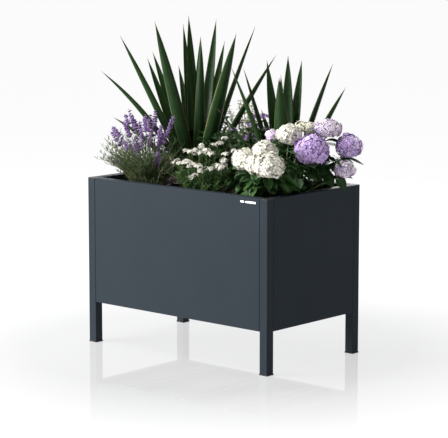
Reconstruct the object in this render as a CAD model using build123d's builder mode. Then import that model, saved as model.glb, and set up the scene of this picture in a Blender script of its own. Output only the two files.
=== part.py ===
"""Raised garden planter on four square legs, planted with agaves, lavender and hydrangea.

Millimetres. The origin is on the floor under the middle of the planter, +X runs along the
long side to the right, -Y is the front and +Z is up.
"""

import os
from math import cos, radians, sin

from build123d import *

# ---- driving dimensions -------------------------------------------------------------------
LENGTH = 1000.0  # over the posts, along X
DEPTH = 590.0  # over the posts, along Y
HEIGHT = 710.0  # floor to rim
PANEL_BOTTOM = 176.0  # underside of the box

POST = 40.0  # square tube
POST_WALL = 2.0
POST_CORNER = 3.0
PLUG_PLAY = 0.2  # foot and cap plugs inside the tube, each side
FOOT_THICK = 5.0
FOOT_PROUD = 1.5
FOOT_PLUG = 20.0
CAP_THICK = 2.5
CAP_PLUG = 18.0
PLUG_WALL = 2.5

SHEET = 2.0  # folded steel sheet
BEND = 2.5  # outside bend radius
SEAM = 0.4  # gap between a panel's end and its post
TOP_FLANGE = 40.0
RIM_LIP = 12.0
BOTTOM_FLANGE = 30.0
RETURN = 36.0

SCREW_HEIGHTS = (230.0, 430.0, 640.0)
SCREW_R = 2.95
SCREW_CLEARANCE_R = 3.3
HEAD_R = 5.25
HEAD_THICK = 3.3
HEX_R = 2.3
HEX_DEEP = 2.0
SCREW_LENGTH = 13.0
NUT_BORE_R = 3.0
RIVET_NUT_R = 4.5
RIVET_NUT_LENGTH = 13.0
RIVET_BULGE_R = 5.5
RIVET_BULGE_THICK = 2.5

RAIL_X = (-300.0, 0.0, 300.0)
RAIL_HEIGHT = 25.0
RAIL_CROWN = 40.0
RAIL_BRIM = 16.0
RAIL_SETBACK = 6.0  # from the outside of the panel to the rail's end
RAIL_SCREW_SETBACK = 18.0
RAIL_NUT_R = 5.5
RAIL_NUT_THICK = 5.0
RAIL_SCREW_LENGTH = 12.0

TRAY_GAP = 1.0
LINER_GAP = 5.0
LINER_WALL = 2.0
LINER_TOP = 692.0
DRAIN_R = 5.0
DRAIN_PITCH = (150.0, 150.0)
DRAIN_COUNT = (6, 3)
GRAVEL_THICK = 40.0
FLEECE_THICK = 2.0
SOIL_TOP = 675.0

LABEL_THICK = 0.3
LABEL_HEIGHT = 8.0
LABEL_BARS = ((369.0, 20.0), (412.0, 54.0))  # middle and length of each bar, along X
LABEL_Z = 691.0

# ---- worked out from them -----------------------------------------------------------------
HALF_L = LENGTH / 2
HALF_D = DEPTH / 2
POST_X = HALF_L - POST / 2
POST_Y = HALF_D - POST / 2
FLOOR_UNDER = PANEL_BOTTOM + SHEET
FLOOR_TOP = FLOOR_UNDER + RAIL_HEIGHT + SHEET
GRAVEL_TOP = FLOOR_TOP + LINER_WALL + GRAVEL_THICK
CORNERS = {
    "front_left": (-1, -1),
    "front_right": (1, -1),
    "back_left": (-1, 1),
    "back_right": (1, 1),
}

# Each panel's outer face: local x runs along the panel, local y is up, local z points out.
FACES = {
    "front": Plane(origin=(0, -HALF_D, 0), x_dir=(1, 0, 0), z_dir=(0, -1, 0)),
    "back": Plane(origin=(0, HALF_D, 0), x_dir=(-1, 0, 0), z_dir=(0, 1, 0)),
    "left": Plane(origin=(-HALF_L, 0, 0), x_dir=(0, -1, 0), z_dir=(-1, 0, 0)),
    "right": Plane(origin=(HALF_L, 0, 0), x_dir=(0, 1, 0), z_dir=(1, 0, 0)),
}
WIDTHS = {
    "front": LENGTH - 2 * POST,
    "back": LENGTH - 2 * POST,
    "left": DEPTH - 2 * POST,
    "right": DEPTH - 2 * POST,
}

# ---- planting: each position is (x, y) or (x, y, z), each angle in degrees ------------------
LARGE_AGAVE = (-190.0, 50.0)
SMALL_AGAVE = (240.0, 120.0)
CROWN_HEIGHT = 14.0
AGAVE_BASE_Z = SOIL_TOP + CROWN_HEIGHT + 6.0
CROWN_CLEAR = 8.0  # from the rosette's middle to an upright leaf's root
LEAF_SETBACK = 1.1  # and this much further out for each degree that it leans
# azimuth, lean of the tip from upright, length from base to tip, width, how much it arches
LARGE_LEAVES = (
    (225, 41, 615, 38, 16),
    (235, 28, 700, 40, 5),
    (205, 56, 455, 30, 18),
    (190, 45, 405, 30, 14),
    (200, 24, 560, 42, 4),
    (185, 24, 585, 44, 6),
    (265, 19, 720, 60, 3),
    (165, 9, 665, 42, 2),
    (150, 9, 700, 54, 2),
    (340, 4, 600, 46, 0),
    (70, 8, 685, 50, 2),
    (350, 23, 690, 60, 4),
    (45, 21, 695, 44, 4),
    (25, 33, 640, 36, 6),
    (128, 22, 640, 48, 8),
    (112, 24, 590, 46, 8),
    (146, 36, 570, 44, 12),
    (132, 42, 440, 42, 16),
    (92, 18, 610, 44, 5),
    (165, 26, 590, 40, 8),
)
SMALL_LEAVES = (
    (225, 24, 545, 30, 4),
    (205, 20, 520, 32, 3),
    (195, 29, 395, 30, 6),
    (185, 10, 530, 46, 2),
    (290, 9, 465, 60, 2),
    (90, 2, 545, 48, 0),
    (60, 8, 530, 50, 2),
    (35, 21, 550, 40, 5),
    (20, 32, 500, 36, 7),
    (110, 20, 430, 38, 6),
    (136, 20, 480, 40, 6),
    (152, 42, 400, 36, 14),
    (126, 30, 390, 36, 10),
    (320, 46, 235, 34, 12),
    (215, 41, 425, 34, 10),
)
SPIKE_LENGTH = 64.0
SPIKE_STALK_R = 1.5
SPIKE_ROOT_SHARE = 0.45  # how far out a stalk leaves the clump, as a share of its whole reach
SPIKE_ROOT_Z = SOIL_TOP + 126.0
LAVENDER = (-300.0, -130.0)
LAVENDER_TIPS = (
    (-590, -110, 897),
    (-477, -140, 956),
    (-475, -100, 983),
    (-342, -150, 1004),
    (-322, -130, 999),
    (-216, -130, 982),
    (-105, -140, 894),
    (-430, -180, 915),
    (-400, -60, 940),
    (-360, -200, 900),
    (-270, -190, 935),
    (-268, -105, 955),
    (-200, -190, 890),
    (-160, -80, 930),
    (-345, -10, 915),
    (-455, -110, 900),
    (-300, -230, 850),
)
HYDRANGEA = (370.0, -90.0)
HYDRANGEA_MOUNDS = (((370.0, -130.0), 88, 92), ((380.0, 20.0), 76, 100), ((385.0, 150.0), 68, 92))
STEM_R = 3.5
WHITE_HEADS = (  # centre and radius
    (300, -200, 842, 52),
    (438, -212, 833, 60),
    (371, -160, 884, 52),
    (362, 0, 930, 50),
    (347, 110, 957, 28),
)
LILAC_HEADS = (
    (467, 20, 872, 69),
    (451, 136, 950, 48),
    (522, 190, 878, 56),
    (546, 131, 791, 40),
    (272, 0, 920, 28),
)
OVERHANG_TIP = (592.0, 205.0, 809.0)
OVERHANG_ROOT = (420.0, 150.0, 740.0)
CANDYTUFT = (40.0, -165.0)
CANDYTUFT_TOPS = (
    (-20, -185, 878),
    (60, -185, 862),
    (30, -150, 850),
    (-70, -190, 838),
    (10, -205, 832),
    (75, -205, 826),
    (120, -180, 846),
    (145, -205, 832),
    (-30, -230, 800),
    (40, -235, 806),
    (100, -230, 796),
    (130, -235, 776),
)
BACKGROUND = (40.0, 170.0)
BACKGROUND_TOPS = (
    (100, 30, 905),
    (27, 60, 866),
    (-10, 120, 850),
    (120, 110, 1025),
    (150, 170, 985),
    (20, 180, 978),
    (-40, 200, 940),
    (70, 220, 1005),
    (300, 215, 985),
    (170, 60, 955),
)
CHIP_COUNT = 36

# ---- helpers ------------------------------------------------------------------------------


def keep(piece, node):
    """Name a finished piece and write it."""
    piece.label = node
    export_step(piece, f"parts/{node}.step")


def cavity_outline(gap):
    """The inside of the box, as it runs round the posts and the panels' end folds."""
    notch = 2 * (POST + SHEET + SEAM + gap)
    with BuildSketch() as outline:
        Rectangle(LENGTH - 2 * (SHEET + gap), DEPTH - 2 * (SHEET + gap))
        with GridLocations(LENGTH, DEPTH, 2, 2):
            Rectangle(notch, notch, mode=Mode.SUBTRACT)
    return outline.sketch


def corner_post(side_x, side_y):
    """A square tube with rivet-nut holes in the two walls that face the panels."""
    inner = POST - 2 * POST_WALL
    with BuildPart() as post:
        with BuildSketch(Plane.XY.offset(FOOT_THICK)):
            with Locations((side_x * POST_X, side_y * POST_Y)):
                RectangleRounded(POST, POST, POST_CORNER)
                RectangleRounded(inner, inner, POST_CORNER - POST_WALL, mode=Mode.SUBTRACT)
        extrude(amount=HEIGHT - FOOT_THICK - CAP_THICK)
        for z in SCREW_HEIGHTS:
            with Locations((side_x * (HALF_L - POST), side_y * POST_Y, z)):
                Cylinder(RIVET_NUT_R, 3 * POST_WALL, rotation=(0, 90, 0), mode=Mode.SUBTRACT)
            with Locations((side_x * POST_X, side_y * (HALF_D - POST), z)):
                Cylinder(RIVET_NUT_R, 3 * POST_WALL, rotation=(90, 0, 0), mode=Mode.SUBTRACT)
    return post.part


def tube_plug(side_x, side_y, plate, size, plate_thick, plug_thick):
    """A moulded end piece: a plate across the tube's end and a hollow plug inside it."""
    plug = POST - 2 * POST_WALL - 2 * PLUG_PLAY
    core = plug - 2 * PLUG_WALL
    with BuildPart() as end:
        with BuildSketch(plate):
            with Locations((side_x * POST_X, side_y * POST_Y)):
                RectangleRounded(size, size, POST_CORNER)
        extrude(amount=plate_thick)
        with BuildSketch(plate):
            with Locations((side_x * POST_X, side_y * POST_Y)):
                RectangleRounded(plug, plug, 1.0)
                Rectangle(core, core, mode=Mode.SUBTRACT)
        extrude(amount=plug_thick)
    return end.part


def folded_panel(side, bolt_points):
    """A tray of sheet: face, rim flange with a lip, end folds and a bottom flange."""
    face = FACES[side]
    outward = Axis(face.origin, face.z_dir)
    width = WIDTHS[side] - 2 * SEAM
    tall = HEIGHT - PANEL_BOTTOM
    middle = PANEL_BOTTOM + tall / 2
    with BuildPart() as panel:
        with BuildSketch(face):
            with Locations((0, middle)):
                Rectangle(width, tall)
        extrude(amount=-TOP_FLANGE)
        fillet(panel.faces().sort_by(outward)[-1].edges(), BEND)
        offset(amount=-SHEET, openings=panel.faces().sort_by(outward)[0])
        # the end folds and the bottom flange are not as deep as the rim
        with BuildSketch(face.offset(-TOP_FLANGE)):
            with Locations((0, middle - SHEET)):
                Rectangle(width, tall)
        extrude(amount=TOP_FLANGE - RETURN, mode=Mode.SUBTRACT)
        with BuildSketch(face.offset(-TOP_FLANGE)):
            with Locations((0, PANEL_BOTTOM)):
                Rectangle(width - 2 * SHEET, 4 * SHEET)
        extrude(amount=TOP_FLANGE - BOTTOM_FLANGE, mode=Mode.SUBTRACT)
        # the rim's lip
        with BuildSketch(face.offset(-TOP_FLANGE)):
            with Locations((0, HEIGHT - RIM_LIP / 2)):
                Rectangle(width, RIM_LIP)
        extrude(amount=SHEET)
        fillet(panel.edges().group_by(Axis.Z)[-1].sort_by(outward)[0], BEND)
        # clearance holes for the post screws, through both end folds
        end = Plane(
            origin=face.origin - face.x_dir * (width / 2 + SHEET),
            x_dir=face.z_dir * -1,
            z_dir=face.x_dir,
        )
        with BuildSketch(end):
            with Locations([(POST / 2, z) for z in SCREW_HEIGHTS]):
                Circle(SCREW_CLEARANCE_R)
        extrude(amount=width + 2 * SHEET, mode=Mode.SUBTRACT)
        if bolt_points:
            with BuildSketch(Plane.XY.offset(PANEL_BOTTOM - SHEET)):
                with Locations(bolt_points):
                    Circle(SCREW_CLEARANCE_R)
            extrude(amount=3 * SHEET, mode=Mode.SUBTRACT)
    return panel.part


def floor_rail(rail_x):
    """A hat section across the box, on the front and back bottom flanges."""
    run = DEPTH - 2 * RAIL_SETBACK
    with BuildPart() as rail:
        with BuildSketch(Plane.XZ.offset(-run / 2)):
            with BuildLine():
                Polyline(
                    (rail_x - RAIL_CROWN / 2 - RAIL_BRIM, FLOOR_UNDER),
                    (rail_x - RAIL_CROWN / 2 + SHEET, FLOOR_UNDER),
                    (rail_x - RAIL_CROWN / 2 + SHEET, FLOOR_UNDER + RAIL_HEIGHT - SHEET),
                    (rail_x + RAIL_CROWN / 2 - SHEET, FLOOR_UNDER + RAIL_HEIGHT - SHEET),
                    (rail_x + RAIL_CROWN / 2 - SHEET, FLOOR_UNDER),
                    (rail_x + RAIL_CROWN / 2 + RAIL_BRIM, FLOOR_UNDER),
                    (rail_x + RAIL_CROWN / 2 + RAIL_BRIM, FLOOR_UNDER + SHEET),
                    (rail_x + RAIL_CROWN / 2, FLOOR_UNDER + SHEET),
                    (rail_x + RAIL_CROWN / 2, FLOOR_UNDER + RAIL_HEIGHT),
                    (rail_x - RAIL_CROWN / 2, FLOOR_UNDER + RAIL_HEIGHT),
                    (rail_x - RAIL_CROWN / 2, FLOOR_UNDER + SHEET),
                    (rail_x - RAIL_CROWN / 2 - RAIL_BRIM, FLOOR_UNDER + SHEET),
                    close=True,
                )
            make_face()
        extrude(amount=run)
        with BuildSketch(Plane.XY.offset(PANEL_BOTTOM)):
            with Locations(rail_bolt_points(rail_x)):
                Circle(SCREW_CLEARANCE_R)
        extrude(amount=3 * SHEET, mode=Mode.SUBTRACT)
    return rail.part


def rail_bolt_points(rail_x):
    """One bolt through each brim at each end of a rail."""
    reach = RAIL_CROWN / 2 + RAIL_BRIM / 2
    y = HALF_D - RAIL_SCREW_SETBACK
    return [(rail_x + sx * reach, sy * y) for sx in (-1, 1) for sy in (-1, 1)]


def panel_screw_planes():
    """Where each post screw's head sits: z points from the fold into the box."""
    planes = []
    for sx, sy in CORNERS.values():
        fold_x = sx * (HALF_L - POST - SEAM - SHEET)
        fold_y = sy * (HALF_D - POST - SEAM - SHEET)
        for z in SCREW_HEIGHTS:
            planes.append(Plane(origin=(fold_x, sy * POST_Y, z), z_dir=(-sx, 0, 0)))
            planes.append(Plane(origin=(sx * POST_X, fold_y, z), z_dir=(0, -sy, 0)))
    return planes


def screws(planes, length):
    """Button-head socket screws, one on each plane, shank towards -z."""
    with BuildPart() as group:
        with BuildSketch(*planes):
            Circle(SCREW_R)
        extrude(amount=-length)
        with BuildSketch(*planes):
            Circle(HEAD_R)
        extrude(amount=HEAD_THICK)
        with BuildSketch(*[p.offset(HEAD_THICK) for p in planes]):
            RegularPolygon(HEX_R, 6)
        extrude(amount=-HEX_DEEP, mode=Mode.SUBTRACT)
    return group.part


def leaf_points(centre, azimuth, lean, length, arch):
    """Root, middle pull and tip of a leaf's curved spine: the more it leans, the further out it roots."""
    away = Vector(cos(radians(azimuth)), sin(radians(azimuth)), 0)
    up = Vector(0, 0, 1)
    root = centre + away * (CROWN_CLEAR + lean * LEAF_SETBACK)
    tip = centre + (away * sin(radians(lean)) + up * cos(radians(lean))) * length
    rise = radians(lean - arch)
    pull = root + (away * sin(rise) + up * cos(rise)) * ((tip - root).length * 0.5)
    return root, pull, tip


def sword_leaf(centre, azimuth, lean, length, width, arch):
    """A tapered blade with a ridge down each side, bowed along its spine."""
    root, pull, tip = leaf_points(centre, azimuth, lean, length, arch)
    across = Vector(-sin(radians(azimuth)), cos(radians(azimuth)), 0)
    stations = ((0.0, 0.4, 11.0), (0.25, 1.0, 9.0), (0.65, 0.62, 6.0), (1.0, 0.06, 2.0))
    with BuildPart() as blade:
        for t, share, thick in stations:
            at = root * (1 - t) ** 2 + pull * (2 * t * (1 - t)) + tip * t**2
            along = (pull - root) * (1 - t) + (tip - pull) * t
            half = width * share / 2
            with BuildSketch(Plane(origin=at, x_dir=across, z_dir=along)):
                Polygon((half, 0), (0, thick / 2), (-half, 0), (0, -thick / 2), align=None)
        loft(ruled=True)
    return blade.part


def rosette(centre, leaves):
    """The leaves of one agave, rooted round its crown."""
    middle = Vector(*centre, AGAVE_BASE_Z)
    return Compound([sword_leaf(middle, *leaf) for leaf in leaves])


def crown(centre, radius):
    """The low woody crown that an agave's leaves grow from."""
    with BuildPart() as stump:
        with BuildSketch(Plane.XY.offset(SOIL_TOP)):
            with Locations(centre):
                Circle(radius)
        extrude(amount=CROWN_HEIGHT)
        fillet(stump.edges().group_by(Axis.Z)[-1], CROWN_HEIGHT / 2)
    return stump.part


def mound(centre, radius, height):
    """A leafy clump: narrow at the soil and round above."""
    side = Plane(origin=(*centre, SOIL_TOP), x_dir=(1, 0, 0), z_dir=(0, -1, 0))
    with BuildPart() as clump:
        with BuildSketch(side):
            with BuildLine():
                Line((0, height), (0, 0))
                Line((0, 0), (radius * 0.6, 0))
                Spline(
                    (radius * 0.6, 0),
                    (radius, height * 0.5),
                    (0, height),
                    tangents=((0.6, 1), (-1, 0)),
                )
            make_face()
        revolve(axis=Axis((*centre, SOIL_TOP), (0, 0, 1)))
    return clump.part


def rod(start, end, radius):
    """A straight round stalk."""
    run = Vector(end) - Vector(start)
    with BuildPart() as stalk:
        with BuildSketch(Plane(origin=start, z_dir=run)):
            Circle(radius)
        extrude(amount=run.length)
    return stalk.part


def flower_spike(start, tip):
    """A thin stalk that ends in a slim spindle of blossom."""
    run = Vector(*tip) - Vector(*start)
    along = Plane(origin=tip, z_dir=run)
    with BuildPart() as spike:
        with BuildSketch(Plane(origin=start, z_dir=run)):
            Circle(SPIKE_STALK_R)
        extrude(amount=run.length - SPIKE_LENGTH)
        for reach, radius in ((-SPIKE_LENGTH, 3), (-45, 8), (-15, 7), (0, 2)):
            with BuildSketch(along.offset(reach)):
                Circle(radius)
        loft()
    return spike.part


# ---- legs ---------------------------------------------------------------------------------
os.makedirs("parts", exist_ok=True)

for corner, (sx, sy) in CORNERS.items():
    keep(corner_post(sx, sy), f"post_{corner}")

    foot_size = POST + 2 * FOOT_PROUD
    foot = tube_plug(sx, sy, Plane.XY, foot_size, FOOT_THICK, FOOT_THICK + FOOT_PLUG)
    keep(foot, f"foot_{corner}")

    top = Plane(origin=(0, 0, HEIGHT), x_dir=(1, 0, 0), z_dir=(0, 0, -1))
    cap = tube_plug(sx, -sy, top, POST, CAP_THICK, CAP_THICK + CAP_PLUG)
    keep(cap, f"post_cap_{corner}")

# ---- box ----------------------------------------------------------------------------------
all_rail_bolts = [point for x in RAIL_X for point in rail_bolt_points(x)]
for side in FACES:
    panel = folded_panel(side, all_rail_bolts if side in ("front", "back") else [])
    keep(panel, f"{side}_panel")

for place, rail_x in zip(("left", "middle", "right"), RAIL_X):
    keep(floor_rail(rail_x), f"floor_rail_{place}")

with BuildPart() as floor_tray:
    with BuildSketch(Plane.XY.offset(FLOOR_UNDER)):
        add(cavity_outline(TRAY_GAP))
    extrude(amount=RAIL_HEIGHT + SHEET)
    offset(amount=-SHEET, openings=floor_tray.faces().sort_by(Axis.Z)[0])
    with BuildSketch(Plane.XY.offset(FLOOR_TOP)):
        with GridLocations(*DRAIN_PITCH, *DRAIN_COUNT):
            Circle(DRAIN_R)
    extrude(amount=-2 * SHEET, mode=Mode.SUBTRACT)
keep(floor_tray.part, "floor_tray")

# ---- fasteners ----------------------------------------------------------------------------
screw_planes = panel_screw_planes()
keep(screws(screw_planes, SCREW_LENGTH), "panel_screws")

nut_planes = [plane.offset(-SHEET - SEAM) for plane in screw_planes]
with BuildPart() as rivet_nuts:
    with BuildSketch(*nut_planes):
        Circle(RIVET_NUT_R)
        Circle(NUT_BORE_R, mode=Mode.SUBTRACT)
    extrude(amount=-RIVET_NUT_LENGTH)
    with BuildSketch(*[plane.offset(-POST_WALL) for plane in nut_planes]):
        Circle(RIVET_BULGE_R)
        Circle(NUT_BORE_R, mode=Mode.SUBTRACT)
    extrude(amount=-RIVET_BULGE_THICK)
keep(rivet_nuts.part, "rivet_nuts")

under = [
    Plane(origin=(x, y, PANEL_BOTTOM), x_dir=(1, 0, 0), z_dir=(0, 0, -1))
    for x, y in all_rail_bolts
]
keep(screws(under, RAIL_SCREW_LENGTH), "rail_screws")

with BuildPart() as rail_nuts:
    with BuildSketch(Plane.XY.offset(FLOOR_UNDER + SHEET)):
        with Locations(all_rail_bolts):
            RegularPolygon(RAIL_NUT_R, 6)
            Circle(NUT_BORE_R, mode=Mode.SUBTRACT)
    extrude(amount=RAIL_NUT_THICK)
keep(rail_nuts.part, "rail_nuts")

# ---- what the box holds ---------------------------------------------------------------------
with BuildPart() as liner:
    with BuildSketch(Plane.XY.offset(FLOOR_TOP)):
        add(cavity_outline(LINER_GAP))
    extrude(amount=LINER_TOP - FLOOR_TOP)
    offset(amount=-LINER_WALL, openings=liner.faces().sort_by(Axis.Z)[-1])
    with BuildSketch(Plane.XY.offset(FLOOR_TOP - LINER_WALL)):
        with GridLocations(*DRAIN_PITCH, *DRAIN_COUNT):
            Circle(DRAIN_R)
    extrude(amount=3 * LINER_WALL, mode=Mode.SUBTRACT)
keep(liner.part, "liner")

for node, bottom, top_z in (
    ("drainage_gravel", FLOOR_TOP + LINER_WALL, GRAVEL_TOP),
    ("filter_fleece", GRAVEL_TOP, GRAVEL_TOP + FLEECE_THICK),
    ("potting_soil", GRAVEL_TOP + FLEECE_THICK, SOIL_TOP),
):
    with BuildPart() as filling:
        with BuildSketch(Plane.XY.offset(bottom)):
            add(cavity_outline(LINER_GAP + LINER_WALL))
        extrude(amount=top_z - bottom)
    keep(filling.part, node)

with BuildPart() as bark_chips:
    for i in range(CHIP_COUNT):
        chip_x = -430 + 860 * i / (CHIP_COUNT - 1)
        chip_y = -262 + 14 * (i % 3)
        with Locations(Location((chip_x, chip_y, SOIL_TOP + 2), (0, 0, 47 * i))):
            Box(9 + 2 * (i % 4), 6, 4)
keep(bark_chips.part, "bark_chips")

with BuildPart() as blank_label:
    with BuildSketch(FACES["front"]):
        for bar_x, bar_length in LABEL_BARS:
            with Locations((bar_x, LABEL_Z)):
                SlotOverall(bar_length, LABEL_HEIGHT)
    extrude(amount=LABEL_THICK)
keep(blank_label.part, "blank_label")

# ---- plants ---------------------------------------------------------------------------------
keep(rosette(LARGE_AGAVE, LARGE_LEAVES), "agave_large_leaves")
keep(crown(LARGE_AGAVE, 70), "agave_large_crown")
keep(rosette(SMALL_AGAVE, SMALL_LEAVES), "agave_small_leaves")
keep(crown(SMALL_AGAVE, 55), "agave_small_crown")

keep(mound(LAVENDER, 115, 120), "lavender_foliage")

spikes = []
for tip in LAVENDER_TIPS:
    foot_x = LAVENDER[0] + (tip[0] - LAVENDER[0]) * SPIKE_ROOT_SHARE
    foot_y = LAVENDER[1] + (tip[1] - LAVENDER[1]) * SPIKE_ROOT_SHARE
    spikes.append(flower_spike((foot_x, foot_y, SPIKE_ROOT_Z), tip))
keep(Compound(spikes), "lavender_spikes")

bush = [mound(spot, radius, height) for spot, radius, height in HYDRANGEA_MOUNDS]
bush.append(rod(OVERHANG_ROOT, OVERHANG_TIP, STEM_R))
for x, y, z, r in WHITE_HEADS + LILAC_HEADS:
    foot = Vector(HYDRANGEA[0] + (x - HYDRANGEA[0]) * 0.15, HYDRANGEA[1] + (y - HYDRANGEA[1]) * 0.6)
    foot += Vector(0, 0, SOIL_TOP + 40)
    reach = Vector(x, y, z) - foot
    bush.append(rod(foot, foot + reach * (1 - (r + 1) / reach.length), STEM_R))
with BuildPart() as hydrangea_foliage:
    add(bush)
keep(hydrangea_foliage.part, "hydrangea_foliage")

for node, heads in (
    ("hydrangea_white_heads", WHITE_HEADS),
    ("hydrangea_lilac_heads", LILAC_HEADS),
):
    with BuildPart() as blossom:
        for x, y, z, r in heads:
            with Locations((x, y, z)):
                Sphere(r)
    keep(blossom.part, node)

keep(mound(CANDYTUFT, 76, 90), "candytuft_foliage")

with BuildPart() as candytuft_flowers:
    for x, y, z in CANDYTUFT_TOPS:
        with Locations((x, y, z)):
            Cylinder(15, 9)
keep(candytuft_flowers.part, "candytuft_flowers")

keep(mound(BACKGROUND, 90, 130), "background_foliage")

with BuildPart() as background_flowers:
    for x, y, z in BACKGROUND_TOPS:
        with Locations((x, y, z)):
            Sphere(13)
keep(background_flowers.part, "background_flowers")
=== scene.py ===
"""Looks for the raised planter on legs: coated steel, soil and living plants. Metres."""

import math

import bpy
import numpy as np
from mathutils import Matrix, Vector


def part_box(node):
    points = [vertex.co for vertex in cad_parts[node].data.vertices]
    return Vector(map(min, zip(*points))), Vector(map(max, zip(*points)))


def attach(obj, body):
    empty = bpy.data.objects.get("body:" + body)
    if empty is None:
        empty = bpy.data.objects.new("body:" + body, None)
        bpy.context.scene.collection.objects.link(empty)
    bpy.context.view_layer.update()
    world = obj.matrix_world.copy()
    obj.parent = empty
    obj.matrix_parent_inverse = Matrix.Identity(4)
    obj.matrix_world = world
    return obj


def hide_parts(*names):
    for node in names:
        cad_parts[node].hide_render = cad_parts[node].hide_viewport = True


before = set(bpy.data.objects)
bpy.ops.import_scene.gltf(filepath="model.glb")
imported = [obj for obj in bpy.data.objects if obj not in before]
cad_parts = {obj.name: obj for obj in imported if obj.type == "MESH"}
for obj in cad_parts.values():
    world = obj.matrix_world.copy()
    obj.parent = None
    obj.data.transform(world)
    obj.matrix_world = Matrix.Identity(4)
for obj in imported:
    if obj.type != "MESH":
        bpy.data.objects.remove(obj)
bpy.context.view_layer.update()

BODY = "root"
UP = np.array((0.0, 0.0, 1.0))
SOIL_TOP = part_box("potting_soil")[1].z
SOIL_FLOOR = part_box("potting_soil")[0].z
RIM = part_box("front_panel")[1].z
RIM_CLEAR = 0.004  # how far above the rim a leaf may cross it
LEAF_REACH_Y = 0.318
# half-sizes of the opening inside the rim, and of the gap between the posts
INSIDE = Vector((-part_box("left_panel")[1].x - 0.002, -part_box("front_panel")[1].y - 0.002, 0.0))
POST_CLEAR = Vector((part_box("post_back_right")[0].x - 0.010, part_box("post_back_right")[0].y - 0.010, 0.0))

# ---- one class for every procedural material -----------------------


class Paint:
    """A procedural material under construction, with short names for the nodes it uses."""

    def __init__(self, name, roughness=0.5, specular=0.5, metallic=0.0):
        self.material = bpy.data.materials.new(name)
        self.material.use_nodes = True
        self.tree = self.material.node_tree
        self.shader = self.tree.nodes["Principled BSDF"]
        self.set("Roughness", roughness)
        self.set("Specular IOR Level", specular)
        self.set("Metallic", metallic)

    def set(self, socket, value):
        self.shader.inputs[socket].default_value = value

    def make(self, kind, inputs=(), **settings):
        """A node, its settings, and its inputs by name or number: a value or another output."""
        made = self.tree.nodes.new(kind)
        for key, value in settings.items():
            setattr(made, key, value)
        for key, value in dict(inputs).items():
            if isinstance(value, bpy.types.NodeSocket):
                self.tree.links.new(value, made.inputs[key])
            else:
                made.inputs[key].default_value = value
        return made

    def place(self):
        """Where a point is on the object, in metres."""
        return self.make("ShaderNodeTexCoord").outputs["Object"]

    def stretched(self, scale):
        """The same, with each axis scaled."""
        inputs = {"Vector": self.place(), "Scale": scale}
        return self.make("ShaderNodeMapping", inputs).outputs["Vector"]

    def noise(self, scale, detail=3.0, rough=0.55, at=None):
        inputs = {
            "Vector": at or self.place(),
            "Scale": scale,
            "Detail": detail,
            "Roughness": rough,
        }
        return self.make("ShaderNodeTexNoise", inputs).outputs["Fac"]

    def cells(self, scale):
        inputs = {"Vector": self.place(), "Scale": scale}
        return self.make("ShaderNodeTexVoronoi", inputs).outputs["Distance"]

    def math(self, operation, a, b=0.0):
        return self.make("ShaderNodeMath", {0: a, 1: b}, operation=operation).outputs[0]

    def range(self, value, low, high, to_low=0.0, to_high=1.0):
        """value from low..high onto to_low..to_high, held at both ends."""
        inputs = {0: value, 1: low, 2: high, 3: to_low, 4: to_high}
        return self.make("ShaderNodeMapRange", inputs).outputs[0]

    def mix(self, share, first, second):
        """A colour between two, each a tuple or another node's colour."""
        made = self.make("ShaderNodeMix", data_type="RGBA")
        for socket, value in ((0, share), (6, first), (7, second)):
            if isinstance(value, bpy.types.NodeSocket):
                self.tree.links.new(value, made.inputs[socket])
            elif socket == 0:
                made.inputs[0].default_value = value
            else:
                made.inputs[socket].default_value = (*value, 1.0)
        return made.outputs[2]

    def across(self):
        """0 to 1 from one side of a leaf or petal to the other, and 0 to 1 from root to tip."""
        layer = self.make("ShaderNodeUVMap", uv_map="leaf")
        split = self.make("ShaderNodeSeparateXYZ", {0: layer.outputs[0]})
        return split.outputs["X"], split.outputs["Y"]

    def from_middle(self, u):
        """0 along the midrib, a half at either edge."""
        return self.math("ABSOLUTE", self.math("SUBTRACT", u, 0.5))

    def streaks(self, u, v, wide, tall):
        """A place that is stretched along a leaf, and differs from leaf to leaf."""
        inputs = {0: self.math("MULTIPLY", u, wide), 1: self.math("MULTIPLY", v, tall), 2: self.tint()}
        return self.make("ShaderNodeCombineXYZ", inputs).outputs[0]

    def tint(self):
        """A random number that is the same all over one leaf, petal or crumb."""
        return self.make("ShaderNodeAttribute", attribute_name="tint").outputs["Fac"]

    def link(self, output, socket):
        self.tree.links.new(output, self.shader.inputs[socket])

    def bump(self, height, depth, strength=1.0):
        inputs = {"Height": height, "Distance": depth, "Strength": strength}
        self.link(self.make("ShaderNodeBump", inputs).outputs[0], "Normal")


# ---- camera, lights and floor --------------------------------------


def add_camera():
    """A long lens, a little above the rim, looking at the front right-hand corner."""
    data = bpy.data.cameras.new("camera")
    data.sensor_width = 36.0
    data.lens = 165.0
    data.clip_start, data.clip_end = 0.1, 400.0
    camera = bpy.data.objects.new("camera", data)
    camera.location = (5.6632, -6.3671, 1.8777)
    camera.rotation_euler = (math.radians(90 - 8.87), 0.0, math.radians(41.6))
    bpy.context.scene.collection.objects.link(camera)
    bpy.context.scene.camera = camera


def add_softbox(name, place, target, size, power):
    """A large rectangular lamp that faces a point."""
    data = bpy.data.lights.new(name, "AREA")
    data.shape = "RECTANGLE"
    data.size, data.size_y = size
    data.energy = power
    lamp = bpy.data.objects.new(name, data)
    lamp.location = place
    aim = Vector(target) - Vector(place)
    lamp.rotation_mode = "QUATERNION"
    lamp.rotation_quaternion = aim.to_track_quat("-Z", "Y")
    bpy.context.scene.collection.objects.link(lamp)


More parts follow.
